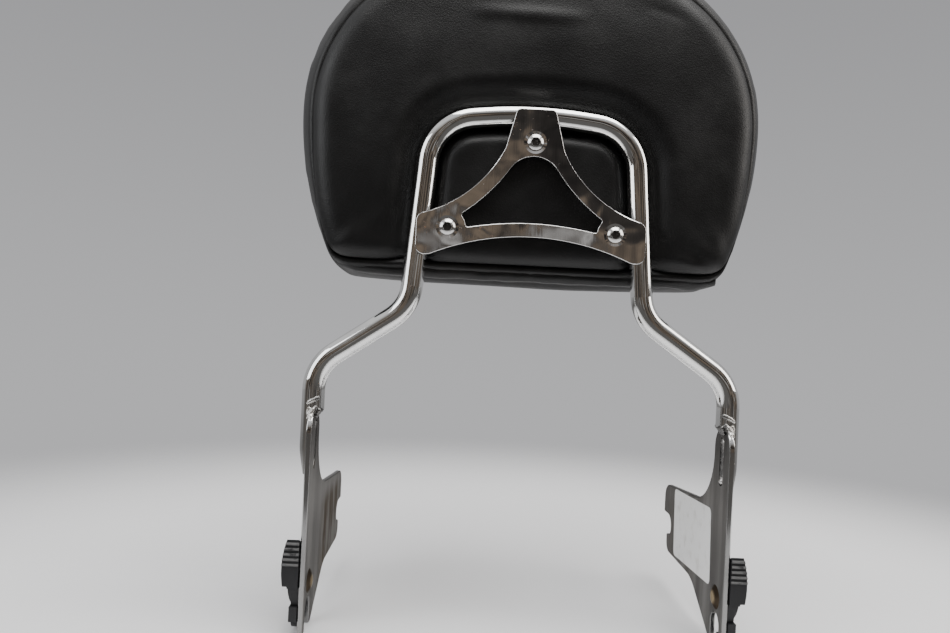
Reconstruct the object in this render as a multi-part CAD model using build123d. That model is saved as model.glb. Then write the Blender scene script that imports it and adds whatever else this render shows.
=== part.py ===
from build123d import *
import math
import os

# Passenger backrest for a motorcycle: a bent bar on two docking side plates, with turning
# latches, and an upholstered pad clamped to the hoop by a three-armed bracket.
# X runs to the right, Y forwards and Z up. The origin lies midway between the two rear
# docking posts, on their common axis.

# Bent bar, measured on its centre line
bar_diameter = 12.7
leg_spacing = 236.8
neck_spacing = 133.2
shoulder_spacing = 116.4
foot_z = 77.0
knee_z = 137.4
neck_z = 173.3
shoulder_z = 280.0
crown_z = 286.7
bend_radius = 25.0
shoulder_radius = 28.0
crown_radius = 250.0
foot_taper_length = 15.0
foot_taper_depth = 3.4

# Docking side plates, drawn as Y and Z from the rear docking post
plate_thickness = 3.2
bar_lap = 1.0
plate_edge_round = 0.8
tongue_width = 25.0
tongue_top_z = 113.0
tongue_fillet = 34.0
arm_top_z = 66.4
arm_bottom_z = 11.0
ear_y = 112.5
ear_top_z = 56.2
ear_corner = 10.0
lip_y = 104.5
lip_corner = 7.0
leg_bottom_z = -11.0
leg_front_y = 10.4
leg_front_run = 36.6
leg_fillet = 30.0
leg_corner = 2.0
post_diameter = 14.0
post_fit = 0.05
front_post_y = 102.0
front_post_z = 29.5

# Welds between bar and plates
plug_width = 6.0
plug_bottom_z = 79.0
plug_length = 28.0
plug_sink = 0.8
bead_radius = 3.0
bead_count = 5
bead_spread = 100.0

# Pad bracket, drawn as X and Z from the height of its lower screws
bracket_thickness = 3.2
bracket_edge_round = 0.45
seat = 0.05
screw_from_wing = 17.5
screw_low_z = 218.8
screw_rise = 49.5
boss_radius = 10.2
bracket_top_half = 10.8
bracket_top_rise = 68.2
neck_half = 16.5
neck_rise = 45.7
arm_sag = 7.0
wing_half = 64.5
wing_top_rise = 6.6
wing_bottom_drop = 15.8
wing_corner = 5.0
bracket_top_corner = 3.0
bracket_blend = 8.0
bar_arch_half = 57.0
bar_arch_rise = 12.2
window_crown_rise = 41.5
window_crown_half = 13.3
window_crown_foot = 34.2
window_arm_sag = 2.5
window_end_half = 46.0
window_end_rise = 3.6
window_sill_rise = 4.2
window_sill_sag = 6.2
window_corner = 1.5

# Bracket screws and the tee nuts they pull on
screw_diameter = 5.0
screw_hole_fit = 0.3
thread_fit = 0.05
screw_head_diameter = 8.8
screw_head_height = 2.8
screw_dome_height = 1.9
screw_length = 25.0
lobe_count = 6
lobe_circle_radius = 2.0
lobe_radius = 0.7
socket_depth = 1.6
dish_floor_radius = 4.8
dish_rim_radius = 6.4
dish_depth = 0.35
tee_barrel_diameter = 6.6
tee_flange_diameter = 16.0
tee_flange_thickness = 1.2
tee_fit = 0.1

# Pad: its widest outline, and the smaller outline of its back
pad_width = 274.6
pad_bottom_z = 190.6
pad_wide_z = 290.0
pad_side_radius = 192.0
pad_shoulder_radius = 100.0
pad_shoulder_turn = 72.0
pad_corner = 12.0
back_side_inset = 11.8
back_bottom_rise = 8.2
back_wide_drop = 6.0
back_side_radius = 320.0
back_shoulder_radius = 90.0
back_corner = 10.0
pad_sink = 5.0
back_panel_thickness = 8.0
board_thickness = 7.0
cover_thickness = 1.5
soft_gap = 0.3
pad_wide_y = 24.0
pad_depth = 57.0
front_round_y = 16.0
front_round_inset = 3.0
front_edge_y = 5.5
front_edge_inset = 15.0
front_face_inset = 36.0

# Latches on the outer faces of the plates
pivot_z = 15.5
pivot_diameter = 7.0
pivot_head_diameter = 13.6
pivot_head_height = 2.4
pivot_end_diameter = 9.2
pivot_end_height = 0.9
running_fit = 0.08
latch_gap = 0.3
latch_top_z = 42.5
latch_front_top_z = 33.0
latch_top_thickness = 7.0
latch_bulge = 9.6
latch_bulge_z = 27.0
latch_step_z = 16.5
latch_step_thickness = 8.8
latch_tail_thickness = 6.3
latch_tail_end_z = 3.5
latch_tail_end_thickness = 4.8
latch_rear_y = -14.0
latch_front_y = 9.0
latch_hub_radius = 12.0
latch_corner = 3.0
rib_count = 5
rib_pitch = 2.9
rib_radius = 0.95
rib_top_drop = 2.2
hook_wall = 2.6
hook_thickness = 4.2
hook_clearance = 0.4
hook_tip_angle = 300.0
nub_rear_y = -13.0
nub_top_z = 5.0
nub_bottom_z = -3.2
nub_thickness = 4.8
washer_diameter = 12.0
washer_thickness = 0.8
washer_gap = 0.2
washer_seat = 4.0
spring_wire = 0.9
spring_radius = 7.4
spring_turns = 2.0
spring_pitch = 0.945
spring_pocket_depth = 2.7

# Values worked out from the driving dimensions
bar_radius = bar_diameter / 2
half_leg = leg_spacing / 2
plate_outer_x = half_leg + bar_lap
plate_inner_x = plate_outer_x - plate_thickness
post_radius = post_diameter / 2
slot_radius = post_radius + post_fit
screw_top_z = screw_low_z + screw_rise
screw_x = wing_half - screw_from_wing
bracket_front_y = -bar_radius - seat
bracket_rear_y = bracket_front_y - bracket_thickness
back_panel_y = bar_radius - pad_sink
board_y = back_panel_y + back_panel_thickness
foam_y = board_y + board_thickness
pad_front_y = back_panel_y + pad_depth
latch_inner_x = plate_outer_x + latch_gap
screw_places = [
    ("top", 0.0, screw_top_z),
    ("left", -screw_x, screw_low_z),
    ("right", screw_x, screw_low_z),
]


def outline(points):
    """Closed face through points of the current sketch plane."""
    return make_face(Polyline(*points, close=True))


def rounded(face, corner_points, radius):
    """Round the corners of a face that lie nearest to the given points."""
    corners = [face.vertices().sort_by_distance(point)[0] for point in corner_points]
    return fillet(corners, radius)


def dome_middle(radius, height):
    """Radius and drop below the top, half-way down a shallow dome."""
    ball = (radius ** 2 + height ** 2) / (2 * height)
    angle = math.asin(radius / ball) / 2
    return ball * math.sin(angle), ball * (1 - math.cos(angle))


def bar_path():
    right = [
        (half_leg, foot_z),
        (half_leg, knee_z),
        (neck_spacing / 2, neck_z),
        (shoulder_spacing / 2, shoulder_z),
    ]
    left = [(-x, z) for x, z in reversed(right)]
    points = [(x, 0, z) for x, z in right + [(0, crown_z)] + left]
    side = [bend_radius, bend_radius, shoulder_radius]
    return FilletPolyline(*points, radius=side + [crown_radius] + side[::-1])


def bar_solid(radius):
    path = bar_path()
    section = Plane(origin=path @ 0, z_dir=path % 0) * Circle(radius)
    return sweep(section, path=path)


def bar_channel(radius):
    """Room for the bar, open towards the rear."""
    path = bar_path()
    rearward = Rectangle(2 * radius, pad_depth, align=(Align.CENTER, Align.MAX))
    section = Plane(origin=path @ 0, x_dir=(1, 0, 0), z_dir=path % 0) * (Circle(radius) + rearward)
    return sweep(section, path=path)


def both_legs(solid):
    return solid + mirror(solid, about=Plane.YZ)


def upright_hoop():
    # Each foot is milled flat where it laps over its plate, and tapers off at its outer side.
    lap_height = 2 * (tongue_top_z - foot_z)
    lap = Pos(plate_outer_x, 0, foot_z) * Box(
        bar_diameter, 2 * bar_diameter, lap_height, align=(Align.MAX, Align.CENTER, Align.CENTER)
    )
    bar_outer_x = half_leg + bar_radius
    taper = outline(
        [
            (bar_outer_x - foot_taper_depth, foot_z),
            (bar_outer_x + foot_taper_depth, foot_z),
            (bar_outer_x + foot_taper_depth, foot_z + foot_taper_length),
            (bar_outer_x, foot_z + foot_taper_length),
        ]
    )
    wedge = extrude(Plane.XZ * taper, amount=bar_diameter, both=True)
    return bar_solid(bar_radius) - both_legs(lap) - both_legs(wedge)


def plate_outline():
    rear = -tongue_width / 2
    front = tongue_width / 2
    tip_z = tongue_top_z - tongue_width / 2
    knee = leg_front_y + leg_front_run
    face = outline(
        [
            (rear, leg_bottom_z),
            (rear, tip_z),
            (front, tip_z),
            (front, arm_top_z),
            (ear_y, ear_top_z),
            (ear_y, front_post_z),
            (lip_y, front_post_z),
            (lip_y, arm_bottom_z),
            (knee, arm_bottom_z),
            (leg_front_y, leg_bottom_z),
        ]
    )
    face = rounded(face, [(front, arm_top_z)], tongue_fillet)
    face = rounded(face, [(ear_y, ear_top_z)], ear_corner)
    face = rounded(face, [(lip_y, arm_bottom_z)], lip_corner)
    face = rounded(face, [(knee, arm_bottom_z)], leg_fillet)
    face = rounded(face, [(rear, leg_bottom_z), (leg_front_y, leg_bottom_z)], leg_corner)
    face += Pos(0, tip_z) * Circle(tongue_width / 2)
    rear_slot = Circle(slot_radius) + Rectangle(
        2 * slot_radius, -2 * leg_bottom_z, align=(Align.CENTER, Align.MAX)
    )
    front_notch = Circle(slot_radius) + Rectangle(
        2 * (ear_y - front_post_y), 2 * slot_radius, align=(Align.MIN, Align.CENTER)
    )
    return face - rear_slot - Pos(front_post_y, front_post_z) * front_notch


def plug_profile():
    middle = plug_bottom_z + plug_length / 2
    return Pos(0, middle) * SlotOverall(plug_length, plug_width, rotation=90)


def side_plate():
    face = plate_outline() - plug_profile()
    face -= Pos(0, pivot_z) * Circle(pivot_diameter / 2 + thread_fit)
    plate = extrude(Plane.YZ.offset(plate_inner_x) * face, amount=plate_thickness)
    rims = []
    for flat in (plate.faces().sort_by(Axis.X)[0], plate.faces().sort_by(Axis.X)[-1]):
        rims += flat.outer_wire().edges()
    return fillet(rims, plate_edge_round)


def weld(plate, hoop):
    # A bead round the tip of the tongue and a filled plug slot below it.
    tip_radius = tongue_width / 2
    tip_z = tongue_top_z - tip_radius
    bead_x = plate_inner_x + bead_radius / 2
    bead = Part()
    for index in range(bead_count):
        angle = math.radians(90 + bead_spread * (index / (bead_count - 1) - 0.5))
        place = Pos(bead_x, tip_radius * math.cos(angle), tip_z + tip_radius * math.sin(angle))
        bead += place * Sphere(bead_radius)
    bead = bead - plate - hoop
    fill = extrude(
        Plane.YZ.offset(plate_outer_x) * plug_profile(), amount=-(plate_thickness - plug_sink)
    )
    drop_radius = plug_width / 2 - plug_sink
    drop = Pos(plate_inner_x + plug_sink, 0, plug_bottom_z + plug_width / 2) * Sphere(drop_radius)
    drop = drop - Pos(plate_inner_x + plug_sink, 0, plug_bottom_z) * Box(
        plate_thickness, plug_length, plug_length, align=(Align.MIN, Align.CENTER, Align.CENTER)
    )
    return bead + fill + drop


def pad_bracket():
    low = screw_low_z
    right = [
        (bracket_top_half, low + bracket_top_rise),
        (neck_half, low + neck_rise),
        (wing_half, low + wing_top_rise),
        (wing_half, low - wing_bottom_drop),
        (bar_arch_half, low - wing_bottom_drop),
    ]
    left = [(-x, z) for x, z in right]
    edges = [
        Line(left[0], right[0]),
        Line(right[0], right[1]),
        SagittaArc(right[1], right[2], -arm_sag),
        Line(right[2], right[3]),
        Line(right[3], right[4]),
        ThreePointArc(right[4], (0, right[4][1] + bar_arch_rise), left[4]),
        Line(left[4], left[3]),
        Line(left[3], left[2]),
        SagittaArc(left[2], left[1], -arm_sag),
        Line(left[1], left[0]),
    ]
    face = make_face(edges)
    face = rounded(face, [right[0], left[0]], bracket_top_corner)
    face = rounded(face, [right[1], left[1], right[4], left[4]], bracket_blend)
    face = rounded(face, [right[2], left[2], right[3], left[3]], wing_corner)
    # The window is bounded by a crown, the inner edges of the arms, the arched bar and the bosses.
    crown = (window_crown_half, low + window_crown_foot)
    end = (window_end_half, low + window_end_rise)
    sill = (window_end_half, low + window_sill_rise - window_sill_sag)
    window = make_face(
        [
            ThreePointArc((-crown[0], crown[1]), (0, low + window_crown_rise), crown),
            SagittaArc(crown, end, -window_arm_sag),
            Line(end, sill),
            ThreePointArc(sill, (0, low + window_sill_rise), (-sill[0], sill[1])),
            Line((-sill[0], sill[1]), (-end[0], end[1])),
            SagittaArc((-end[0], end[1]), (-crown[0], crown[1]), -window_arm_sag),
        ]
    )
    window -= Pos(screw_x, low) * Circle(boss_radius) + Pos(-screw_x, low) * Circle(boss_radius)
    beside_bosses = [vertex for vertex in window.vertices() if vertex.Y < crown[1] - boss_radius]
    window = fillet(beside_bosses, window_corner)
    for _, x, z in screw_places:
        face -= Pos(x, z) * Circle(screw_diameter / 2 + screw_hole_fit)
    plate = extrude(Plane.XZ.offset(-bracket_front_y) * (face - window), amount=bracket_thickness)
    rear_face = plate.faces().sort_by(Axis.Y)[0]
    window_rim = rear_face.inner_wires().sort_by(SortBy.LENGTH)[-1]
    plate = fillet(rear_face.outer_wire().edges() + window_rim.edges(), bracket_edge_round)
    # The plate is dished round each screw, and the screw's head sits in the dish.
    dish = Cone(
        dish_floor_radius, dish_rim_radius, dish_depth, align=(Align.CENTER, Align.CENTER, Align.MAX)
    )
    for _, x, z in screw_places:
        plate -= Pos(x, bracket_rear_y, z) * Rot(90, 0, 0) * dish
    return plate


def bracket_screw(x, z):
    shank_radius = screw_diameter / 2
    head_radius = screw_head_diameter / 2
    dome_x, dome_drop = dome_middle(head_radius, screw_dome_height)
    profile = [
        Line((0, -screw_length), (shank_radius, -screw_length)),
        Line((shank_radius, -screw_length), (shank_radius, 0)),
        Line((shank_radius, 0), (head_radius, 0)),
        Line((head_radius, 0), (head_radius, screw_head_height - screw_dome_height)),
        ThreePointArc(
            (head_radius, screw_head_height - screw_dome_height),
            (dome_x, screw_head_height - dome_drop),
            (0, screw_head_height),
        ),
        Line((0, screw_head_height), (0, -screw_length)),
    ]
    screw = revolve(Plane.XZ * make_face(profile), axis=Axis.Z)
    lobes = Circle(lobe_circle_radius)
    lobes += PolarLocations(lobe_circle_radius, lobe_count) * Circle(lobe_radius)
    socket = Pos(0, 0, screw_head_height - socket_depth) * extrude(lobes, amount=2 * socket_depth)
    return Pos(x, bracket_rear_y + dish_depth, z) * Rot(90, 0, 0) * (screw - socket)


def tee_nut(x, z):
    barrel = Cylinder(
        tee_barrel_diameter / 2, board_thickness, align=(Align.CENTER, Align.CENTER, Align.MAX)
    )
    flange = Cylinder(
        tee_flange_diameter / 2, tee_flange_thickness, align=(Align.CENTER, Align.CENTER, Align.MIN)
    )
    bore = Cylinder(screw_diameter / 2 + thread_fit, 4 * board_thickness)
    return Pos(x, foam_y, z) * Rot(-90, 0, 0) * (barrel + flange - bore)


def pad_outline(inset, back=False):
    """Pad outline drawn inside its widest contour, or inside that of its back, by the given inset."""
    half = pad_width / 2 - inset
    bottom = pad_bottom_z + inset
    wide_z = pad_wide_z
    side_radius = pad_side_radius - inset
    shoulder = pad_shoulder_radius - inset
    corner = max(pad_corner - inset, pad_corner / 3)
    if back:
        half -= back_side_inset
        bottom += back_bottom_rise
        wide_z -= back_wide_drop
        side_radius = back_side_radius - inset
        shoulder = back_shoulder_radius - inset
        corner = back_corner - inset
    turn = math.radians(pad_shoulder_turn)
    side_x = half - side_radius
    drop = math.asin((wide_z - bottom) / side_radius)
    shoulder_x = half - shoulder
    crown_start = (shoulder_x + shoulder * math.cos(turn), wide_z + shoulder * math.sin(turn))
    crown = crown_start[0] / math.cos(turn)
    top_z = crown_start[1] + crown * (1 - math.sin(turn))
    foot = (side_x + side_radius * math.cos(drop), bottom)
    mid_side = (side_x + side_radius * math.cos(drop / 2), wide_z - side_radius * math.sin(drop / 2))
    mid_shoulder = (
        shoulder_x + shoulder * math.cos(turn / 2),
        wide_z + shoulder * math.sin(turn / 2),
    )
    wide = (half, wide_z)

    def flip(point):
        return (-point[0], point[1])

    edges = [
        Line(flip(foot), foot),
        ThreePointArc(foot, mid_side, wide),
        ThreePointArc(wide, mid_shoulder, crown_start),
        ThreePointArc(crown_start, (0, top_z), flip(crown_start)),
        ThreePointArc(flip(crown_start), flip(mid_shoulder), flip(wide)),
        ThreePointArc(flip(wide), flip(mid_side), flip(foot)),
    ]
    return rounded(make_face(edges), [foot, flip(foot)], corner)


def pad_body(skin):
    """Cushion form, drawn inside its outer surface by the given skin thickness."""
    rows = [
        (pad_wide_y, 0.0),
        (pad_front_y - front_round_y, front_round_inset),
        (pad_front_y - front_edge_y, front_edge_inset),
        (pad_front_y - skin, front_face_inset),
    ]
    sections = [Plane.XZ.offset(-back_panel_y) * pad_outline(skin, back=True)]
    sections += [Plane.XZ.offset(-y) * pad_outline(inset + skin) for y, inset in rows]
    return loft(sections, ruled=True)


def slab(y_low, y_high):
    """Block wider than the pad between two depths."""
    return Pos(0, y_low, pad_wide_z) * Box(
        2 * pad_width, y_high - y_low, 2 * pad_width, align=(Align.CENTER, Align.MIN, Align.CENTER)
    )


def screw_holes(radius):
    depth = 4 * pad_depth
    holes = Part()
    for _, x, z in screw_places:
        holes += Pos(x, 0, z) * Rot(90, 0, 0) * Cylinder(radius, depth)
    return holes


def pad_parts():
    filling = pad_body(cover_thickness + soft_gap)
    groove = bar_channel(bar_radius + soft_gap)
    shell = pad_body(0.0) - pad_body(cover_thickness) - groove
    back_panel = filling & slab(back_panel_y, board_y)
    back_panel = back_panel - groove - screw_holes(screw_diameter / 2 + screw_hole_fit)
    board = (filling & slab(board_y, foam_y)) - screw_holes(tee_barrel_diameter / 2 + tee_fit)
    foam = filling & slab(foam_y, pad_front_y)
    for _, x, z in screw_places:
        pocket = Cylinder(
            tee_flange_diameter / 2 + soft_gap,
            tee_flange_thickness + soft_gap,
            align=(Align.CENTER, Align.CENTER, Align.MIN),
        )
        foam -= Pos(x, foam_y, z) * Rot(-90, 0, 0) * pocket
    return shell, back_panel, board, foam


def latch_side_profile():
    """Latch as seen from the side, in Y and Z: thumb tab, hub and the hook round the post."""
    tab = outline(
        [
            (latch_rear_y, pivot_z),
            (latch_rear_y, latch_top_z),
            (latch_front_y, latch_front_top_z),
            (latch_hub_radius, pivot_z),
        ]
    )
    tab = rounded(tab, [(latch_front_y, latch_front_top_z)], latch_corner)
    return tab + Pos(0, pivot_z) * Circle(latch_hub_radius)


def hook_profile():
    inner = post_radius + hook_clearance
    outer = inner + hook_wall
    middle = (inner + outer) / 2
    half_way = (180 + hook_tip_angle) / 2

    def polar(radius, angle):
        return (radius * math.cos(math.radians(angle)), radius * math.sin(math.radians(angle)))

    tip_outer = polar(outer, hook_tip_angle)
    tip_inner = polar(inner, hook_tip_angle)
    ring = make_face(
        [
            ThreePointArc((-outer, 0), polar(outer, half_way), tip_outer),
            Line(tip_outer, tip_inner),
            ThreePointArc(tip_inner, polar(inner, half_way), (-inner, 0)),
            Line((-inner, 0), (-outer, 0)),
        ]
    )
    end = Pos(*polar(middle, hook_tip_angle)) * Circle(hook_wall / 2)
    arm = outline([(-outer, 0), (-inner, 0), (0, inner), (0, pivot_z), (-latch_hub_radius, pivot_z)])
    hub = Pos(0, pivot_z) * Circle(pivot_z - inner)
    return ring + end + arm + hub - Circle(inner)


def latch():
    x = latch_inner_x
    rear_view = make_face(
        [
            Line((x, latch_tail_end_z), (x, latch_top_z)),
            Line((x, latch_top_z), (plate_outer_x + latch_top_thickness, latch_top_z)),
            ThreePointArc(
                (plate_outer_x + latch_top_thickness, latch_top_z),
                (plate_outer_x + latch_bulge, latch_bulge_z),
                (plate_outer_x + latch_step_thickness, latch_step_z),
            ),
            Line(
                (plate_outer_x + latch_step_thickness, latch_step_z),
                (plate_outer_x + latch_tail_thickness, latch_step_z),
            ),
            Line(
                (plate_outer_x + latch_tail_thickness, latch_step_z),
                (plate_outer_x + latch_tail_end_thickness, latch_tail_end_z),
            ),
            Line((plate_outer_x + latch_tail_end_thickness, latch_tail_end_z), (x, latch_tail_end_z)),
        ]
    )
    thickness = extrude(Plane.XZ * rear_view, amount=2 * latch_top_z, both=True)
    side = Plane.YZ.offset(x)
    knob = extrude(side * latch_side_profile(), amount=2 * latch_bulge)
    for index in range(rib_count):
        rib_z = latch_top_z - rib_top_drop - index * rib_pitch
        knob += Pos(x, latch_rear_y, rib_z) * Rot(0, 90, 0) * Cylinder(
            rib_radius, 2 * latch_bulge, align=(Align.CENTER, Align.CENTER, Align.MIN)
        )
    hook = extrude(side * hook_profile(), amount=hook_thickness - latch_gap)
    nub_face = outline(
        [(nub_rear_y, nub_bottom_z), (0, nub_bottom_z), (0, nub_top_z), (nub_rear_y, nub_top_z)]
    )
    nub = extrude(side * nub_face, amount=nub_thickness - latch_gap)
    post_room = extrude(side * Circle(post_radius + hook_clearance), amount=2 * latch_bulge)
    body = (knob & thickness) + nub - post_room + hook
    on_pivot = Pos(x, 0, pivot_z) * Rot(0, 90, 0)
    bore = Cylinder(pivot_diameter / 2 + running_fit, 4 * latch_bulge)
    counterbore = Pos(0, 0, washer_seat - latch_gap) * Cylinder(
        washer_diameter / 2 + running_fit, 2 * latch_bulge, align=(Align.CENTER, Align.CENTER, Align.MIN)
    )
    outer_wall = spring_radius + spring_wire / 2 + running_fit
    inner_wall = spring_radius - spring_wire / 2 - running_fit
    from_face = (Align.CENTER, Align.CENTER, Align.MIN)
    pocket = Cylinder(outer_wall, spring_pocket_depth, align=from_face)
    pocket -= Cylinder(inner_wall, spring_pocket_depth, align=from_face)
    return body - on_pivot * bore - on_pivot * counterbore - on_pivot * pocket


def latch_spring():
    height = spring_turns * spring_pitch
    helix = Helix(pitch=spring_pitch, height=height, radius=spring_radius)
    section = Plane(origin=helix @ 0, z_dir=helix % 0) * Circle(spring_wire / 2)
    coil = sweep(section, path=helix, is_frenet=True)
    lift = spring_pocket_depth - height - spring_wire / 2
    return Pos(latch_inner_x + lift, 0, pivot_z) * Rot(0, 90, 0) * coil


def latch_washer():
    ring = Cylinder(washer_diameter / 2, washer_thickness, align=(Align.CENTER, Align.CENTER, Align.MIN))
    bore = Cylinder(pivot_diameter / 2 + thread_fit, 4 * washer_thickness)
    place = plate_outer_x + washer_seat + washer_gap
    return Pos(place, 0, pivot_z) * Rot(0, 90, 0) * (ring - bore)


def latch_pivot():
    # Rivet from the inner face of the plate through the latch, upset over the washer.
    shank = pivot_diameter / 2
    head = pivot_head_diameter / 2
    end = pivot_end_diameter / 2
    length = plate_thickness + washer_seat + washer_gap + washer_thickness
    top = length + pivot_end_height
    dome_x, dome_drop = dome_middle(head, pivot_head_height)
    profile = [
        ThreePointArc((0, -pivot_head_height), (dome_x, dome_drop - pivot_head_height), (head, 0)),
        Line((head, 0), (shank, 0)),
        Line((shank, 0), (shank, length)),
        Line((shank, length), (end, length)),
        Line((end, length), (end, top)),
        Line((end, top), (0, top)),
        Line((0, top), (0, -pivot_head_height)),
    ]
    rivet = revolve(Plane.XZ * make_face(profile), axis=Axis.Z)
    return Pos(plate_inner_x, 0, pivot_z) * Rot(0, 90, 0) * rivet


def save(name, solid):
    export_step(solid, os.path.join("parts", name + ".step"))


def main():
    os.makedirs("parts", exist_ok=True)
    hoop = upright_hoop()
    save("upright_hoop", hoop)
    plate = side_plate()
    right_side = {
        "side_plate": plate,
        "plate_weld": weld(plate, hoop),
        "latch": latch(),
        "latch_spring": latch_spring(),
        "latch_washer": latch_washer(),
        "latch_pivot": latch_pivot(),
    }
    for name, solid in right_side.items():
        save(name + "_right", solid)
        save(name + "_left", mirror(solid, about=Plane.YZ))
    save("pad_bracket", pad_bracket())
    for name, x, z in screw_places:
        save("bracket_screw_" + name, bracket_screw(x, z))
        save("tee_nut_" + name, tee_nut(x, z))
    shell, back_panel, board, foam = pad_parts()
    save("pad_cover", shell)
    save("pad_back_panel", back_panel)
    save("pad_board", board)
    save("pad_foam", foam)


main()
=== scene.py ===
# %% [markdown]
# A motorcycle sissy bar, dressed for the camera. The metal parts come ready from the CAD frame and only
# get their finishes here. The upholstery, the weld beads and the small label are modelled in this file.

# %% Load the frame
import math
import bpy
from mathutils import Matrix, Vector, noise
from mathutils.bvhtree import BVHTree


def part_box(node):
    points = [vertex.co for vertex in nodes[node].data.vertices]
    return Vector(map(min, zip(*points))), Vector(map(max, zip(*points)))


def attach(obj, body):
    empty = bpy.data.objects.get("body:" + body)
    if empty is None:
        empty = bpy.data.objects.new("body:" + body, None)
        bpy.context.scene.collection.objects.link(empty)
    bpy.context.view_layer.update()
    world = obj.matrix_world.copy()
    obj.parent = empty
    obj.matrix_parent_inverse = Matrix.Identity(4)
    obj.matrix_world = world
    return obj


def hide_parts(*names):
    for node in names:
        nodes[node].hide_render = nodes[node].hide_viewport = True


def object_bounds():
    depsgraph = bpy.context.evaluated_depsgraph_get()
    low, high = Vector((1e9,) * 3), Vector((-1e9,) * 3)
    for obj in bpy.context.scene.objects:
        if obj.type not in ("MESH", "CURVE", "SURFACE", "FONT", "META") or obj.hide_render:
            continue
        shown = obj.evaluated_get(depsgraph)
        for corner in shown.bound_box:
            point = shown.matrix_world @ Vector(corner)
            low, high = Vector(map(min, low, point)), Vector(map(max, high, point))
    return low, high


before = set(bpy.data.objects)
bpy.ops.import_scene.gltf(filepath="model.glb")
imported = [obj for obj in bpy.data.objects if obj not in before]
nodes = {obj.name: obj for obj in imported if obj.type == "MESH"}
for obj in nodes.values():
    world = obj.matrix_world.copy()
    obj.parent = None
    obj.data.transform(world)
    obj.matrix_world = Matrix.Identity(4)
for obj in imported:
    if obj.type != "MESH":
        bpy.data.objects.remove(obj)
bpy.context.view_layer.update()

MM = 0.001
print("frame loaded:", len(nodes), "nodes")

# %% [markdown]
# The camera stood low behind the bar and was tilted a little. Its place and turn come from mirrored
# pairs of points on the bar, so a camera built from three axes is the plainest way to repeat it.

# %% Camera
PHOTO_WIDTH = 950
FOCAL_PIXELS = 767
yaw = math.radians(1.22)
roll = math.radians(2.72)
forward = Vector((math.sin(yaw), math.cos(yaw), 0))
level = Vector((math.cos(yaw), -math.sin(yaw), 0))
upright = level.cross(forward)
right = math.cos(roll) * level + math.sin(roll) * upright
up = math.cos(roll) * upright - math.sin(roll) * level
bpy.ops.object.select_all(action="DESELECT")
bpy.ops.object.camera_add()
camera = bpy.context.object
camera.matrix_world = Matrix.Translation(Vector((-38.3, -436.8, 169.6)) * MM) @ Matrix(
    (right, up, -forward)
).transposed().to_4x4()
camera.data.sensor_fit = "HORIZONTAL"
camera.data.sensor_width = 36
camera.data.lens = 36 * FOCAL_PIXELS / PHOTO_WIDTH
camera.data.clip_start = 0.01
bpy.context.scene.camera = camera
print("camera lens", round(camera.data.lens, 2), "mm")

# %% [markdown]
# Finishes are sums and products of a few patterns. Wrapping a socket in a small class lets them be
# written as ordinary expressions, and every sum then adds its own Math node to the tree.


# %% Shader values
class Value:
    """An output socket. Arithmetic on it adds Math nodes to its tree."""

    def __init__(self, tree, socket):
        self.tree = tree
        self.socket = socket

    def add_node(self, kind, settings, inputs, output=0):
        made = self.tree.nodes.new(kind)
        for name, setting in settings.items():
            if name == "stops":
                while len(made.color_ramp.elements) < len(setting):
                    made.color_ramp.elements.new(1.0)
                for element, (place, colour) in zip(made.color_ramp.elements, setting):
                    element.position = place
                    element.color = (*colour, 1)
            else:
                setattr(made, name, setting)
        for name, given in inputs.items():
            if isinstance(given, Value):
                self.tree.links.new(given.socket, made.inputs[name])
            else:
                made.inputs[name].default_value = given
        return Value(self.tree, made.outputs[output])

    def math(self, operation, first, second=0.0):
        return self.add_node("ShaderNodeMath", {"operation": operation}, {0: first, 1: second})

    def __add__(self, other):
        return self.math("ADD", self, other)

    __radd__ = __add__

    def __sub__(self, other):
        return self.math("SUBTRACT", self, other)

    def __rsub__(self, other):
        return self.math("SUBTRACT", other, self)

    def __mul__(self, other):
        return self.math("MULTIPLY", self, other)

    __rmul__ = __mul__

    def __truediv__(self, other):
        return self.math("DIVIDE", self, other)

    def __pow__(self, other):
        return self.math("POWER", self, other)

    def size(self):
        return self.math("ABSOLUTE", self)

    def part(self, axis):
        return self.add_node("ShaderNodeSeparateXYZ", {}, {0: self}, axis)

    def step(self, low, high):
        """0 below low, 1 above high and smooth between them."""
        settings = {"interpolation_type": "SMOOTHSTEP"}
        return self.add_node("ShaderNodeMapRange", settings, {0: self, 1: low, 2: high})

    def noise(self, scale, detail=3.0, roughness=0.55, stretch=(1, 1, 1)):
        spread = self.add_node("ShaderNodeMapping", {}, {"Vector": self, "Scale": stretch})
        inputs = {"Vector": spread, "Scale": scale, "Detail": detail, "Roughness": roughness}
        return self.add_node("ShaderNodeTexNoise", {}, inputs)

    def cells(self, scale):
        return self.add_node("ShaderNodeTexVoronoi", {}, {"Vector": self, "Scale": scale})

    def mix(self, low, high):
        """Colour that runs from low to high as this value runs from 0 to 1."""
        inputs = {}
        for place, colour in ((6, low), (7, high)):
            inputs[place] = colour if isinstance(colour, Value) else (*colour, 1)
        inputs[0] = self
        return self.add_node("ShaderNodeMix", {"data_type": "RGBA"}, inputs, 2)


def start_finish(name, **constants):
    """New material with its shader's own values set, and the place on the surface as a Value."""
    material = bpy.data.materials.new(name)
    material.use_nodes = True
    tree = material.node_tree
    shader = tree.nodes["Principled BSDF"]
    for socket, given in constants.items():
        shader.inputs[socket.replace("_", " ")].default_value = given
    coordinates = tree.nodes.new("ShaderNodeTexCoord")
    return material, Value(tree, coordinates.outputs["Object"])


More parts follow.
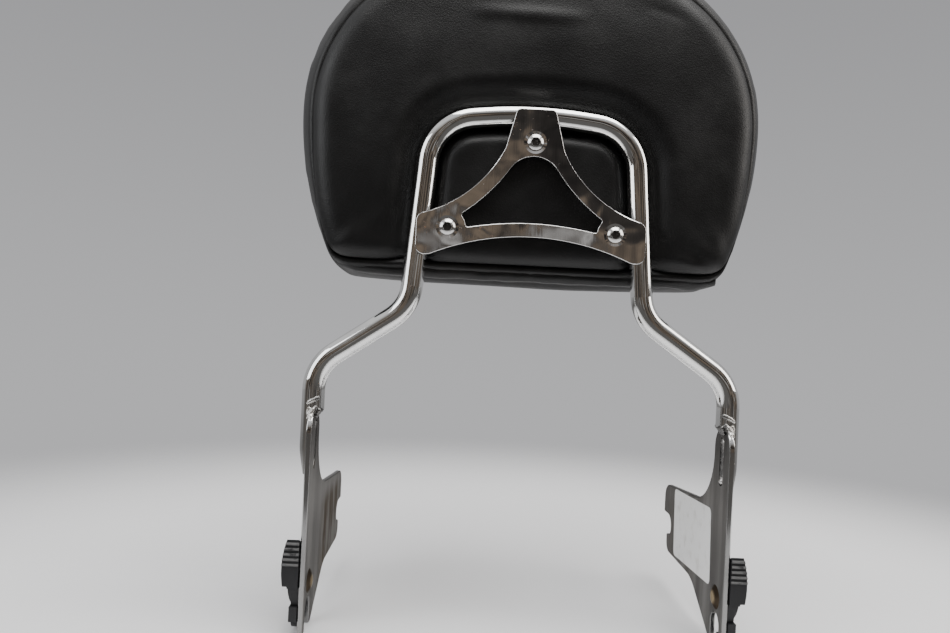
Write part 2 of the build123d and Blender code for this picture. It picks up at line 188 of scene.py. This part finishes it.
def feed(material, **values):
    """Link values to the shader, and a height to it through a Bump node."""
    tree = material.node_tree
    shader = tree.nodes["Principled BSDF"]
    for name, value in values.items():
        if name == "height":
            settings = {"Height": value, "Strength": 1.0, "Distance": 1.0}
            value = value.add_node("ShaderNodeBump", {}, settings)
            name = "Normal"
        tree.links.new(value.socket, shader.inputs[name.replace("_", " ")])
    print("finish", material.name, "has", len(tree.nodes), "nodes")


# %% [markdown]
# The bar and bracket are chromed and polished, so nearly all that shows on them is the room. What makes
# them look used is a film of finger marks, which blurs patches, and a few brown freckles in the plating.


# %% Chrome
def chrome_finish(name, tint, film, freckle_scale, freckle_share, waviness):
    material, place = start_finish(name)
    smudge = place.noise(38, 4).step(0.45, 0.75)
    freckles = place.noise(freckle_scale, 2, 0.7).step(1 - freckle_share, 1 - freckle_share + 0.03)
    patches = place.noise(55, 2).step(0.5, 0.62)
    rust = freckles * patches
    worn = smudge.mix(tint, tuple(0.86 * part for part in tint))
    scratches = place.noise(900, 2, stretch=(1, 1, 0.06))
    feed(
        material,
        Base_Color=rust.mix(worn, (0.20, 0.10, 0.045)),
        Metallic=1 - 0.75 * rust,
        Roughness=0.035 + film * smudge + 0.45 * rust,
        height=0.000004 * scratches + waviness * place.noise(45, 1),
    )
    return material


bar_chrome = chrome_finish("bar_chrome", (0.82, 0.82, 0.81), 0.07, 700, 0.30, 0.00003)
bracket_chrome = chrome_finish("bracket_chrome", (0.80, 0.79, 0.78), 0.10, 500, 0.32, 0.0004)


def screw_finish(name, middle):
    """Bright steel with painted shade in the recess, which lies round the given X and Z."""
    material, place = start_finish(name)
    across = place.part(0) - middle[0]
    rise = place.part(2) - middle[1]
    from_axis = (across * across + rise * rise) ** 0.5
    # Painted shade: the recess is filled with near-black in patches, darkening it as its shade would
    recess_shade = (1 - from_axis.step(0.0022, 0.0028)) * place.noise(1400, 2).step(0.22, 0.40)
    feed(
        material,
        Base_Color=recess_shade.mix((0.60, 0.595, 0.585), (0.030, 0.026, 0.022)),
        Metallic=1 - 0.8 * recess_shade,
        Roughness=0.16 + 0.4 * recess_shade,
    )
    return material


screw_finishes = {
    name: screw_finish(name + "_screw", middle)
    for name, middle in {"top": (0, 0.2683), "left": (-0.047, 0.2188), "right": (0.047, 0.2188)}.items()
}

# %% [markdown]
# The side plates are plated as well, but their inner faces were never polished. They are told from the
# bright edges by their distance from the middle plane. The left one carries brown water stains. Both are
# seen nearly edge-on, where a clean metal would mirror the room fully, so a tint holds that down.


# %% Side plates
def plate_finish(name, stain):
    material, place = start_finish(name, Specular_Tint=(0.42, 0.41, 0.40, 1))
    inner = 1 - place.part(0).size().step(0.11635, 0.1168)
    depth = place.part(1)
    height = place.part(2)
    brushed = place.noise(160, 4, stretch=(1, 1, 0.12))
    bands = place.noise(85, 3, stretch=(1, 1, 0.10)).step(0.35, 0.68)
    cloud = place.noise(30, 3)
    streak = place.noise(110, 3, stretch=(1, 1, 0.22)).step(0.36, 0.60)
    zone = depth.step(0.022, 0.050) * (1 - depth.step(0.096, 0.112)) * (1 - height.step(0.044, 0.062))
    rust = stain * zone * (0.25 + 0.75 * streak) * inner
    # Painted shade: the bright edges are darker towards the bottom, which holds down the floor's reflection
    # there; they are also rougher there
    low_edge_shade = 1 - height.step(0.030, 0.062)
    base = (0.75 * bands + 0.25 * cloud).mix((0.12, 0.118, 0.116), (0.27, 0.266, 0.258))
    edge = low_edge_shade.mix((0.60, 0.60, 0.595), (0.27, 0.268, 0.265))
    bright = inner.mix(edge, base)
    feed(
        material,
        Base_Color=rust.mix(bright, (0.055, 0.041, 0.026)),
        Metallic=1 - 0.6 * rust,
        Roughness=0.09 + 0.14 * low_edge_shade + inner * (0.17 + 0.14 * cloud) + 0.3 * rust,
        height=inner * brushed * 0.00003,
    )
    return material


plate_finishes = {"right": plate_finish("right_plate", 0.35), "left": plate_finish("left_plate", 1.25)}

# %% [markdown]
# Weld metal is plated over, so it is bright but lumpy. The rivets and washers are yellow zinc, a
# passivated coat that shades from straw to brown; towards their rim they are darkened with painted shade.

# %% Weld, zinc and spring steel
DULL_EDGE = (0.5, 0.5, 0.5, 1)
PIVOT_Z = 0.0155
weld_metal, place = start_finish("weld_metal", Metallic=1.0, Specular_Tint=DULL_EDGE)
height = place.part(2)
plug = (1 - height.step(0.100, 0.105)) * height.step(0.0835, 0.0850)
inner = height.step(0.100, 0.105) * (1 - place.part(0).size().step(0.1155, 0.1168))
soot = place.noise(420, 3).step(0.5, 0.7)
pass_colour = soot.mix((0.54, 0.53, 0.51), (0.20, 0.175, 0.15))
feed(
    weld_metal,
    Base_Color=(plug + inner).mix(pass_colour, (0.16, 0.157, 0.153)),
    Roughness=0.34 + 0.14 * soot + 0.12 * plug,
)

yellow_zinc, place = start_finish("yellow_zinc", Metallic=1.0, Specular_Tint=DULL_EDGE)
straw = place.noise(260, 3)
rise = place.part(2) - PIVOT_Z
from_axis = (place.part(1) * place.part(1) + rise * rise) ** 0.5
# Painted shade: darker towards the rim of each head, standing in for the dome's shading
rim_shade = from_axis.step(0.0022, 0.0048)
feed(
    yellow_zinc,
    Base_Color=rim_shade.mix(straw.mix((0.22, 0.165, 0.10), (0.42, 0.34, 0.22)), (0.055, 0.042, 0.030)),
    Roughness=0.16 + 0.10 * straw + 0.15 * rim_shade,
    height=0.00002 * place.noise(900, 2),
)

grey_zinc, place = start_finish("grey_zinc", Metallic=1.0)
spangle = place.cells(500)
feed(
    grey_zinc,
    Base_Color=spangle.mix((0.55, 0.56, 0.57), (0.70, 0.70, 0.69)),
    Roughness=0.30 + 0.15 * spangle,
)

# %% [markdown]
# The latches are moulded in black plastic with a satin skin. Thumbs have polished the crests of the ribs
# a little glossier, and their lighter grey is a painted highlight, which shows as bright lines from behind.

# %% Latch plastic
latch_black, place = start_finish("latch_black", IOR=1.37)
crest = 1 - place.part(1).step(-0.0150, -0.0143)
# Painted highlight: the upper crests on the rear side are lighter grey; they are also a little glossier
worn = crest * place.part(2).step(0.026, 0.029) * place.noise(300, 3).step(0.25, 0.5)
moulded = place.noise(1500, 3)
black = place.noise(70, 3).mix((0.008, 0.008, 0.009), (0.018, 0.018, 0.02))
feed(
    latch_black,
    Base_Color=worn.mix(black, (0.13, 0.13, 0.13)),
    Roughness=0.36 + 0.16 * moulded - 0.08 * worn,
    height=0.00005 * moulded,
)

# %% [markdown]
# The pad is covered in soft black vinyl. Its grain is a fine net of cells under a millimetre wide, and it
# lies over foam that is never quite even. A grey film of dust lightens it in patches; on the cover it is
# thicker, partly as painted sheen.


# %% Vinyl
def vinyl_finish(name, dust_and_sheen_share):
    material, place = start_finish(name, IOR=1.44)
    grain = place.cells(1150)
    soft = place.noise(60, 3)
    pores = place.noise(2600, 2)
    dust = place.noise(24, 5, 0.65).step(0.42, 0.78)
    specks = place.noise(1300, 1).step(0.74, 0.80) * place.noise(130, 1).step(0.5, 0.7)
    film = dust_and_sheen_share * dust
    feed(
        material,
        Base_Color=(film + 0.25 * specks).mix((0.0030, 0.0030, 0.0033), (0.050, 0.048, 0.046)),
        Roughness=0.37 + 0.10 * soft + 0.12 * dust,
        height=0.00007 * grain + 0.00020 * soft + 0.00002 * pores,
    )
    return material


# The cover's thicker grey film is partly painted sheen, which lightens its sides as a grazing reflection
# would
cover_vinyl = vinyl_finish("cover_vinyl", 0.42)
panel_vinyl = vinyl_finish("panel_vinyl", 0.10)

label_paper, place = start_finish("label_paper", IOR=1.45)
scuff = place.noise(140, 4).step(0.5, 0.8)
feed(label_paper, Base_Color=scuff.mix((0.80, 0.80, 0.79), (0.66, 0.65, 0.62)), Roughness=0.42 + 0.2 * scuff)

# %% [markdown]
# CAD nodes whose shape is right stay as they are and take these finishes in their material slots.


# %% Dress the CAD nodes
def dress(piece, material):
    piece.data.materials.clear()
    piece.data.materials.append(material)


dress(nodes["upright_hoop"], bar_chrome)
dress(nodes["pad_bracket"], bracket_chrome)
for name in ("top", "left", "right"):
    dress(nodes["bracket_screw_" + name], screw_finishes[name])
    dress(nodes["tee_nut_" + name], grey_zinc)
for side in ("left", "right"):
    dress(nodes["side_plate_" + side], plate_finishes[side])
    dress(nodes["latch_" + side], latch_black)
    dress(nodes["latch_pivot_" + side], yellow_zinc)
    dress(nodes["latch_washer_" + side], yellow_zinc)
    dress(nodes["latch_spring_" + side], grey_zinc)
print("CAD nodes dressed")

# %% [markdown]
# New pieces all go through the same few steps. These helpers select one object, apply a modifier, and
# give a finished piece its material and the body that it rides on.


# %% Helpers for new pieces
def new_piece(name, mesh):
    piece = bpy.data.objects.new(name, mesh)
    bpy.context.scene.collection.objects.link(piece)
    return piece


def only(piece):
    bpy.ops.object.select_all(action="DESELECT")
    piece.select_set(True)
    bpy.context.view_layer.objects.active = piece


def apply_modifier(piece, kind, **settings):
    modifier = piece.modifiers.new(kind.title(), kind)
    for name, given in settings.items():
        setattr(modifier, name, given)
    only(piece)
    bpy.ops.object.modifier_apply(modifier=modifier.name)


def finish_piece(piece, material, body, slot, *stands_for):
    only(piece)
    bpy.ops.object.shade_smooth()
    dress(piece, material)
    if stands_for:
        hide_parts(*stands_for)
    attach(piece, body)
    print(piece.name, "has", len(piece.data.polygons), "faces")


def smoothstep(low, high, value):
    share = min(1.0, max(0.0, (value - low) / (high - low)))
    return share * share * (3 - 2 * share)


# %% [markdown]
# The cushion and the back panel share one outline, and both have to know where the bar lies. The outline
# is the hull of the CAD panel's rear face, and distances from the bar come from a search tree of its faces.

# %% Outline of the back and distance from the bar
rear_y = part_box("pad_back_panel")[0][1]
rear_points = [
    (v.co.x, v.co.z) for v in nodes["pad_back_panel"].data.vertices if v.co.y < rear_y + 0.05 * MM
]


def hull(points):
    """Convex outline of points, counter-clockwise."""

    def half(ordered):
        chain = []
        for p in ordered:
            while len(chain) > 1:
                (ax, az), (bx, bz) = chain[-2], chain[-1]
                if (bx - ax) * (p[1] - az) - (bz - az) * (p[0] - ax) > 0:
                    break
                chain.pop()
            chain.append(p)
        return chain[:-1]

    ordered = sorted(set(points))
    return half(ordered) + half(ordered[::-1])


back_outline = hull(rear_points)
back_middle = (0.0, 0.285)


def reach(angle):
    """Distance from the middle of the back to its outline, in the given direction."""
    dx, dz = math.cos(angle), math.sin(angle)
    best = 0.0
    for (ax, az), (bx, bz) in zip(back_outline, back_outline[1:] + back_outline[:1]):
        ex, ez = bx - ax, bz - az
        cross = dx * ez - dz * ex
        if abs(cross) < 1e-12:
            continue
        px, pz = ax - back_middle[0], az - back_middle[1]
        along = (px * ez - pz * ex) / cross
        share = (px * dz - pz * dx) / cross
        if along > 0 and -1e-6 <= share <= 1 + 1e-6:
            best = max(best, along)
    return best


bar_mesh = nodes["upright_hoop"].data
bar_tree = BVHTree.FromPolygons([v.co for v in bar_mesh.vertices], [p.vertices for p in bar_mesh.polygons])
BAR_RADIUS = 6.35 * MM
LOOK_FROM = 40 * MM


def from_bar(x, z):
    """Distance in the plane of the back from the bar's centre line."""
    reached = bar_tree.find_nearest(Vector((x, LOOK_FROM, z)))[3] + BAR_RADIUS
    return math.sqrt(max(0.0, reached * reached - LOOK_FROM * LOOK_FROM))


print("outline has", len(back_outline), "points, top reach", round(reach(math.pi / 2) / MM, 1), "mm")

# %% [markdown]
# The cushion is foam under a tight cover. It starts from the CAD layers of the pad, remeshed into even
# faces, and a short cloth run with inner pressure rounds it as stuffing would. The points on the board
# are pinned, because a board doesn't swell. The rear is hollowed to make room for the back panel.

# %% Cushion
foam = new_piece("pad_cushion", nodes["pad_foam"].data.copy())
layers = [new_piece(name + "_copy", nodes[name].data.copy()) for name in ("pad_board", "pad_back_panel")]
only(foam)
for layer in layers:
    layer.select_set(True)
bpy.ops.object.join()
bpy.ops.object.mode_set(mode="EDIT")
bpy.ops.mesh.select_all(action="SELECT")
bpy.ops.mesh.remove_doubles(threshold=0.02 * MM)
bpy.ops.object.mode_set(mode="OBJECT")
apply_modifier(foam, "REMESH", mode="VOXEL", voxel_size=4.5 * MM)
bpy.ops.object.mode_set(mode="EDIT")
bpy.ops.mesh.select_all(action="SELECT")
bpy.ops.transform.shrink_fatten(value=3.0 * MM)
bpy.ops.mesh.vertices_smooth(factor=0.5, repeat=4)
bpy.ops.object.mode_set(mode="OBJECT")
UNDER_PANEL = 11 * MM
RIM_DEPTH = 5.5 * MM
for vertex in foam.data.vertices:
    x, y, z = vertex.co
    if y < UNDER_PANEL:
        dx, dz = x - back_middle[0], z - back_middle[1]
        inset = reach(math.atan2(dz, dx)) - math.hypot(dx, dz)
        y = max(y, RIM_DEPTH)
        vertex.co.y = y + (UNDER_PANEL - y) * smoothstep(-2 * MM, 5 * MM, inset)
PINNED_DEPTH = 16 * MM
before = [vertex.co.copy() for vertex in foam.data.vertices]
pins = foam.vertex_groups.new(name="on_board")
pins.add([v.index for v in foam.data.vertices if v.co.y < PINNED_DEPTH], 1.0, "REPLACE")
cloth = foam.modifiers.new("Cloth", "CLOTH")
cloth.settings.vertex_group_mass = "on_board"
cloth.settings.use_pressure = True
cloth.settings.uniform_pressure_force = 4
cloth.settings.effector_weights.gravity = 0
for number in range(1, 21):
    bpy.context.scene.frame_set(number)
only(foam)
bpy.ops.object.modifier_apply(modifier="Cloth")
bpy.context.scene.frame_set(1)
SWELL_CAP = 5 * MM
for vertex, old in zip(foam.data.vertices, before):
    move = vertex.co - old
    if move.length > SWELL_CAP:
        vertex.co = old + move * (SWELL_CAP / move.length)
apply_modifier(foam, "SUBSURF", levels=1, render_levels=1)
finish_piece(foam, cover_vinyl, "backrest", "black_vinyl", "pad_cover", "pad_foam", "pad_board")

# %% [markdown]
# The back panel is a thin padded sheet that the hoop presses into. A disc of rings and spokes follows the
# panel's outline well at its edge, so the disc is drawn first by extruding and shrinking a circle, and
# then each point is moved: outwards to the outline, and forwards where the bar lies.

# %% Back panel
SPOKES = 220
RINGS = 54
bpy.ops.object.select_all(action="DESELECT")
bpy.ops.mesh.primitive_circle_add(
    vertices=SPOKES, radius=1.0, fill_type="NOTHING", rotation=(math.pi / 2, 0, 0)
)
panel = bpy.context.object
panel.name = "pad_back"
bpy.ops.object.transform_apply(location=True, rotation=True, scale=True)
bpy.ops.object.mode_set(mode="EDIT")
bpy.ops.mesh.select_all(action="SELECT")
for ring in range(RINGS - 1):
    factor = (RINGS - ring - 1) / (RINGS - ring)
    bpy.ops.mesh.extrude_region_move()
    bpy.ops.transform.resize(value=(factor, factor, factor), center_override=(0, 0, 0))
bpy.ops.mesh.merge(type="CENTER")
bpy.ops.mesh.select_all(action="SELECT")
bpy.ops.mesh.normals_make_consistent(inside=False)
bpy.ops.object.mode_set(mode="OBJECT")

BAR_SEAT = 6.75 * MM
BEND_MIDDLE = (34.9, 257.5)
BEND_RADIUS = 25.0
HEM_EDGE_DEPTH = 7 * MM
EDGE_DEPTH = 13 * MM
EDGE_ROUND = 14 * MM
OVERLAP = 5 * MM
LEG_FOOT = (66.6, 173.3)
LEG_LEAN = 8.4 / 106.7
CROWN_Z = 286.7
CROWN_FALL = 0.115
CREASES = [
    # Start and end of a fold in X and Z, then its height and width, all in millimetres
    ((-36, 342.5), (24, 341.5), 1.0, 3.4),
    ((62, 350), (84, 344), -0.5, 2.0),
    ((94, 219), (109, 202), 2.2, 3.0),
    ((86, 208), (106, 200.5), 1.8, 2.6),
    ((103, 226), (112, 206), 1.6, 2.6),
    ((90, 213), (108, 201), -1.6, 2.2),
    ((-98, 215), (-111, 205), 1.5, 2.6),
    ((-104, 219), (-112, 206), -1.0, 2.4),
]


def crease_height(x, z):
    total = 0.0
    for (ax, az), (bx, bz), height, width in CREASES:
        ex, ez = bx - ax, bz - az
        share = ((x - ax) * ex + (z - az) * ez) / (ex * ex + ez * ez)
        near = min(1.0, max(0.0, share))
        gap = math.hypot(x - ax - near * ex, z - az - near * ez)
        fade = math.sin(math.pi * (0.1 + 0.8 * near))
        total += height * math.exp(-((gap / width) ** 2)) * fade
    return total


def panel_depth(x, z, inset, edge_depth):
    """How far forward the back's surface lies at a point, the inset being its distance from the edge."""
    away = from_bar(x, z)
    half = LEG_FOOT[0] * MM - (z - LEG_FOOT[1] * MM) * LEG_LEAN
    across, above = abs(x) - BEND_MIDDLE[0] * MM, z - BEND_MIDDLE[1] * MM
    past_bend = across > 0 and above > 0 and math.hypot(across, above) > BEND_RADIUS * MM
    within = abs(x) < half and z < CROWN_Z * MM - CROWN_FALL * abs(x) and not past_bend
    crown = -3.0 * MM * smoothstep(0, 60 * MM, inset)
    if within:
        seat = (BAR_SEAT + 1.0 * MM) * (1 - smoothstep(3.5 * MM, 15 * MM, away))
        crown = -1.0 * MM
    else:
        seat = (BAR_SEAT - crown) * (1 - smoothstep(3 * MM, 23 * MM, away))
    edge = max(0.0, 1 - inset / EDGE_ROUND)
    edge_drop = edge_depth * (1 - math.sqrt(max(0.0, 1 - edge * edge)))
    ripple = 0.35 * MM * noise.noise(Vector((x, z, 0.3)) / (22 * MM))
    return crown + seat + edge_drop + ripple - crease_height(x / MM, z / MM) * MM


reaches = {}
for vertex in panel.data.vertices:
    angle = math.atan2(vertex.co.z, vertex.co.x)
    share = min(1.0, math.hypot(vertex.co.x, vertex.co.z))
    key = round(angle, 4)
    above_hem = smoothstep(-0.62, -0.40, math.sin(angle))
    if key not in reaches:
        reaches[key] = reach(angle) + OVERLAP * above_hem
    x = back_middle[0] + share * reaches[key] * math.cos(angle)
    z = back_middle[1] + share * reaches[key] * math.sin(angle)
    inset = (1 - share) * reaches[key]
    edge_depth = HEM_EDGE_DEPTH + (EDGE_DEPTH - HEM_EDGE_DEPTH) * above_hem
    vertex.co = (x, panel_depth(x, z, inset, edge_depth), z)
panel.data.update()
bpy.ops.object.mode_set(mode="EDIT")
bpy.ops.mesh.select_all(action="SELECT")
bpy.ops.mesh.vertices_smooth(factor=0.4, repeat=2)
bpy.ops.object.mode_set(mode="OBJECT")
apply_modifier(panel, "SOLIDIFY", thickness=1.5 * MM, offset=-1.0)
apply_modifier(panel, "SUBSURF", levels=1, render_levels=1)
finish_piece(panel, panel_vinyl, "backrest", "black_vinyl_back", "pad_back_panel")

# %% [markdown]
# Along the bottom the cover is folded under and stapled, which leaves a puckered roll from corner to
# corner. A curve with a round section gives the roll, and its points are then pushed about by noise.

# %% Hem roll
hem_points = [
    (-111.5, 13.5, 207), (-111, 13, 202.5), (-106, 12, 198), (-97, 12, 196),
    (-72, 11.5, 195.2), (-39, 11.5, 195), (0, 11.5, 194.8), (39, 11.5, 195),
    (72, 11.5, 195.2), (95, 12, 195.6), (104, 12.5, 196), (110, 13.5, 197.5),
]
bpy.ops.object.select_all(action="DESELECT")
bpy.ops.curve.primitive_nurbs_path_add()
hem = bpy.context.object
hem.name = "pad_hem"
hem.data.splines.clear()
spline = hem.data.splines.new("NURBS")
spline.points.add(len(hem_points) - 1)
for point, place in zip(spline.points, hem_points):
    point.co = (*(MM * part for part in place), 1)
spline.order_u = 3
spline.use_endpoint_u = True
spline.resolution_u = 14
hem.data.dimensions = "3D"
hem.data.bevel_depth = 4.2 * MM
hem.data.bevel_resolution = 5
hem.data.use_fill_caps = True
only(hem)
bpy.ops.object.convert(target="MESH")
hem = bpy.context.object
for vertex in hem.data.vertices:
    x, y, z = vertex.co
    wave = noise.noise(Vector((x / (9 * MM), y / (5 * MM), z / (5 * MM))))
    fold = noise.noise(Vector((x / (26 * MM), 3.7, z / (14 * MM))))
    notch = math.exp(-(((x - 2 * MM) / (1.6 * MM)) ** 2))
    corner = 1 + 1.4 * smoothstep(78 * MM, 104 * MM, abs(x))
    vertex.co.y = y - corner * (0.7 * wave + 0.9 * fold) * MM + 1.2 * MM * notch
    vertex.co.z = z + corner * (0.5 * wave + 0.5 * fold) * MM
finish_piece(hem, cover_vinyl, "backrest", "black_vinyl")

# %% [markdown]
# Each plate is welded to the bar by an upper and a lower pass over the tip of its tongue, by fillets under
# the bar's shoulder, and through a slot that was filled with weld. A pass is a row of overlapping puddles,
# so balls are laid side by side and remeshed into one lumpy skin. The right slot is filled nearly flush,
# and the left one is left as a hollow.

# %% Weld beads
PLATE_IN = 116.2
BEADS = [
    # Start, middle and end of a pass, then its count and size of puddles
    ((114.8, -4.5, 119.8), (117.4, -6.2, 118.9), (120.4, -5.5, 116.8), 9, 1.5),
    ((115.6, -5.0, 114.9), (117.4, -6.8, 113.4), (119.7, -8.2, 108.8), 11, 1.2),
    ((117.8, -4.2, 112.2), (117.8, -7.2, 111.2), (117.8, -9.4, 107.4), 8, 1.5),
    ((119.4, -5.4, 114.2), (119.8, -6.0, 112.6), (120.2, -6.4, 110.6), 5, 1.3),
    ((113.9, -4.6, 113.0), (113.3, 0.0, 112.8), (113.9, 4.6, 113.0), 10, 1.5),
    ((115.0, -4.5, 111.4), (114.8, 0.0, 111.0), (115.0, 4.5, 111.4), 9, 1.4),
    ((115.7, -3.6, 109.4), (115.6, 0.0, 109.0), (115.7, 3.6, 109.4), 7, 1.0),
    ((115.6, 5.0, 114.9), (117.4, 6.8, 113.4), (119.7, 8.2, 108.8), 11, 1.2),
    ((117.8, 4.2, 112.2), (117.8, 7.2, 111.2), (117.8, 9.4, 107.4), 8, 1.5),
    ((119.4, 5.4, 114.2), (119.8, 6.0, 112.6), (120.2, 6.4, 110.6), 5, 1.3),
]


def puddle_row(start, middle, end, count, radius):
    """Places and sizes of the puddles of one pass, which wanders a little."""
    row = []
    for number in range(count):
        share = number / (count - 1)
        weights = ((1 - share) ** 2, 2 * share * (1 - share), share ** 2)
        place = [sum(w * part for w, part in zip(weights, parts)) for parts in zip(start, middle, end)]
        place[2] += 0.2 * math.sin(number * 2.4 + count)
        row.append((*place, radius * (1 + 0.08 * math.sin(number * 3.1)) * (1 - 0.3 * share ** 3)))
    return row


def weld_skin(name, puddles, sign):
    """Balls laid side by side and remeshed into one lumpy skin."""
    balls = []
    for x, y, z, radius in puddles:
        place = (sign * x * MM, y * MM, z * MM)
        bpy.ops.mesh.primitive_uv_sphere_add(segments=20, ring_count=12, radius=radius * MM, location=place)
        balls.append(bpy.context.object)
    only(balls[0])
    for ball in balls:
        ball.select_set(True)
    bpy.ops.object.join()
    skin = bpy.context.object
    skin.name = name
    bpy.ops.object.transform_apply(location=True, rotation=True, scale=True)
    apply_modifier(skin, "REMESH", mode="VOXEL", voxel_size=0.35 * MM)
    bpy.ops.object.mode_set(mode="EDIT")
    bpy.ops.mesh.select_all(action="SELECT")
    bpy.ops.mesh.vertices_smooth(factor=0.5, repeat=6)
    bpy.ops.object.mode_set(mode="OBJECT")
    return skin


puddles = [puddle for bead in BEADS for puddle in puddle_row(*bead)]
PLUG_BOTTOM = 82.0
PLUG_STEP = 1.5
plug_heights = [PLUG_BOTTOM + PLUG_STEP * n for n in range(16)]
right_plug = [
    (118.2 + 0.35 * math.sin(n * 1.9), 0.7 * math.sin(n * 2.6), z, 2.3) for n, z in enumerate(plug_heights)
]
left_plug = [(119.2, 0.0, z, 2.9) for z in plug_heights]
# A drop hangs at the foot of each slot
right_plug += [(117.0, 0.2, 81.8, 1.9)]
left_plug += [(118.4, 0.6, 81.6, 1.7)]
right_weld = weld_skin("weld_right", puddles + right_plug, 1)
left_weld = weld_skin("weld_left", puddles + left_plug, -1)
finish_piece(right_weld, weld_metal, "backrest", "weld_metal", "plate_weld_right")
finish_piece(left_weld, weld_metal, "backrest", "weld_metal", "plate_weld_left")

# %% [markdown]
# A blank white paper label sticks to the inner face of the right plate. It is a plane with rounded
# corners and a little thickness.

# %% Label
LABEL_SIZE = (74.5, 44.5)
LABEL_MIDDLE = (49.2, 38.2)
LABEL_TURN = math.radians(-3.8)
bpy.ops.object.select_all(action="DESELECT")
bpy.ops.mesh.primitive_plane_add(size=1.0)
label = bpy.context.object
label.name = "plate_label"
bpy.ops.object.mode_set(mode="EDIT")
bpy.ops.transform.resize(value=(LABEL_SIZE[0] * MM, LABEL_SIZE[1] * MM, 1))
bpy.ops.mesh.bevel(offset=3.5 * MM, segments=6, affect="VERTICES")
bpy.ops.object.mode_set(mode="OBJECT")
for vertex in label.data.vertices:
    along, rise = vertex.co.x, vertex.co.y
    y = LABEL_MIDDLE[0] * MM + along * math.cos(LABEL_TURN) - rise * math.sin(LABEL_TURN)
    z = LABEL_MIDDLE[1] * MM + along * math.sin(LABEL_TURN) + rise * math.cos(LABEL_TURN)
    vertex.co = ((PLATE_IN - 0.02) * MM, y, z)
apply_modifier(label, "SOLIDIFY", thickness=0.12 * MM, offset=0.0)
for vertex in label.data.vertices:
    vertex.co.x -= 0.07 * MM
only(label)
bpy.ops.object.mode_set(mode="EDIT")
bpy.ops.mesh.select_all(action="SELECT")
bpy.ops.mesh.normals_make_consistent(inside=False)
bpy.ops.object.mode_set(mode="OBJECT")
finish_piece(label, label_paper, "backrest", "chrome_plate")
bpy.ops.object.shade_flat()

# %% [markdown]
# The bar stands on a white paper sheet in soft light. The sheet fades into the background at its rim, so
# no edge shows from any side.

# %% Floor
FLOOR_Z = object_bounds()[0][2] - 0.0005
bpy.ops.object.select_all(action="DESELECT")
bpy.ops.mesh.primitive_circle_add(vertices=128, radius=0.8, fill_type="NGON", location=(0, 0, FLOOR_Z))
floor = bpy.context.object
floor.name = "paper_floor"
floor_paper, place = start_finish("floor_paper", Roughness=0.7)
creases = place.noise(3.0, 4)
away = place.add_node("ShaderNodeVectorMath", {"operation": "LENGTH"}, {0: place}, "Value")
feed(
    floor_paper,
    Base_Color=creases.mix((0.82, 0.82, 0.83), (0.89, 0.89, 0.90)),
    Alpha=(1 - away.step(0.32, 0.72)) * place.part(1).step(-0.32, -0.10),
    height=0.004 * creases,
)
dress(floor, floor_paper)

# %% [markdown]
# Chrome is only as good as what it mirrors. The background is a pale room overhead and ahead, and a dark
# one behind the camera, which gives the bar its black bands. Large lamps add the soft highlights.

# %% Light
world = bpy.data.worlds.new("studio")
bpy.context.scene.world = world
world.use_nodes = True
tree = world.node_tree
shader = tree.nodes["Background"]
sky = Value(tree, tree.nodes.new("ShaderNodeTexCoord").outputs["Generated"])
ahead = sky.part(1)
rise = sky.part(2)
pale = ahead.step(-0.35, 0.25)
overhead = rise.step(0.35, 0.75)
ground = 1 - rise.step(-0.25, -0.02)
clutter = sky.noise(7, 3, 0.6)
stops = [(0.30, (0.016, 0.015, 0.015)), (0.46, (0.060, 0.054, 0.050)), (0.53, (0.26, 0.205, 0.155)),
         (0.58, (0.070, 0.062, 0.058)), (0.66, (0.55, 0.54, 0.53)), (0.74, (0.10, 0.10, 0.10))]
shelves = sky.add_node("ShaderNodeValToRGB", {"stops": stops}, {"Fac": clutter})
room = pale.mix(shelves, (0.55, 0.55, 0.56))
lit = overhead.mix(room, (0.95, 0.95, 0.96))
mirrored = ground.mix(lit, (0.15, 0.145, 0.14))
backdrop = rise.step(-0.15, 0.5).mix((0.66, 0.66, 0.675), (0.44, 0.44, 0.455))
seen = Value(tree, tree.nodes.new("ShaderNodeLightPath").outputs["Is Camera Ray"])
tree.links.new(seen.mix(mirrored, backdrop).socket, shader.inputs["Color"])
shader.inputs["Strength"].default_value = 0.8


def lamp(name, place, aim, size, power, colour):
    bpy.ops.object.light_add(type="AREA", location=place)
    light = bpy.context.object
    light.name = name
    light.data.shape = "RECTANGLE"
    light.data.size, light.data.size_y = size
    light.data.energy = power
    light.data.color = colour
    light.rotation_euler = (Vector(aim) - Vector(place)).to_track_quat("-Z", "Y").to_euler()


lamp("overhead", (0.15, -0.32, 1.35), (0, 0.05, 0.2), (1.2, 0.8), 19, (1.0, 0.99, 0.97))
lamp("left_window", (-1.3, -0.5, 0.7), (0, 0, 0.2), (0.8, 1.0), 8, (0.96, 0.98, 1.0))
lamp("right_window", (1.2, -0.2, 0.75), (0, 0, 0.2), (0.6, 0.9), 7, (1.0, 0.96, 0.92))
print("studio lit")
